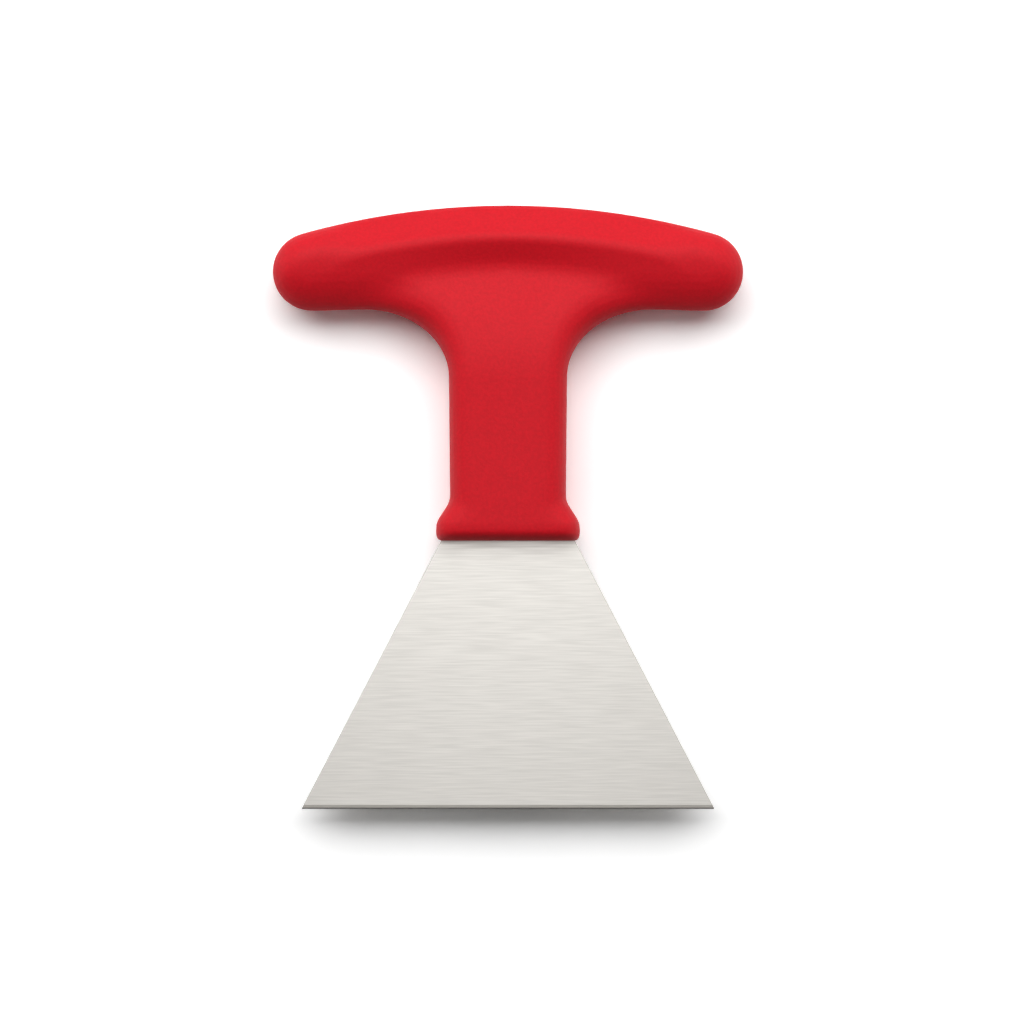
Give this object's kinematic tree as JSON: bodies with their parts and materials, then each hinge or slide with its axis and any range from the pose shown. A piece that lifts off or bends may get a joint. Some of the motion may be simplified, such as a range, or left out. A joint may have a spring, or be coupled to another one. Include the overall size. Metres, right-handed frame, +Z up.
{
  "type": "pan scraper",
  "caption": "Hand scraper for pans: a tapered stainless blade moulded into a T-shaped plastic handle with a crowned palm bar and finger hollows.",
  "frame": {"origin": "middle of the box round the tool, on the flat back of the stem that it lies on", "axes": "+X across the tool along the scraping edge and the palm bar; +Y from the scraping edge to the palm bar; +Z up through the handle's thickness, out of the face with the blade's bevel"},
  "size_m": [0.1254, 0.1608, 0.022],
  "materials": {
    "blade_steel": "brushed along the scraping edge",
    "handle_plastic": "fine satin grain from the mould"
  },
  "bodies": {
    "root": {"blade": "blade_steel", "handle": "handle_plastic"}
  },
  "joints": []
}
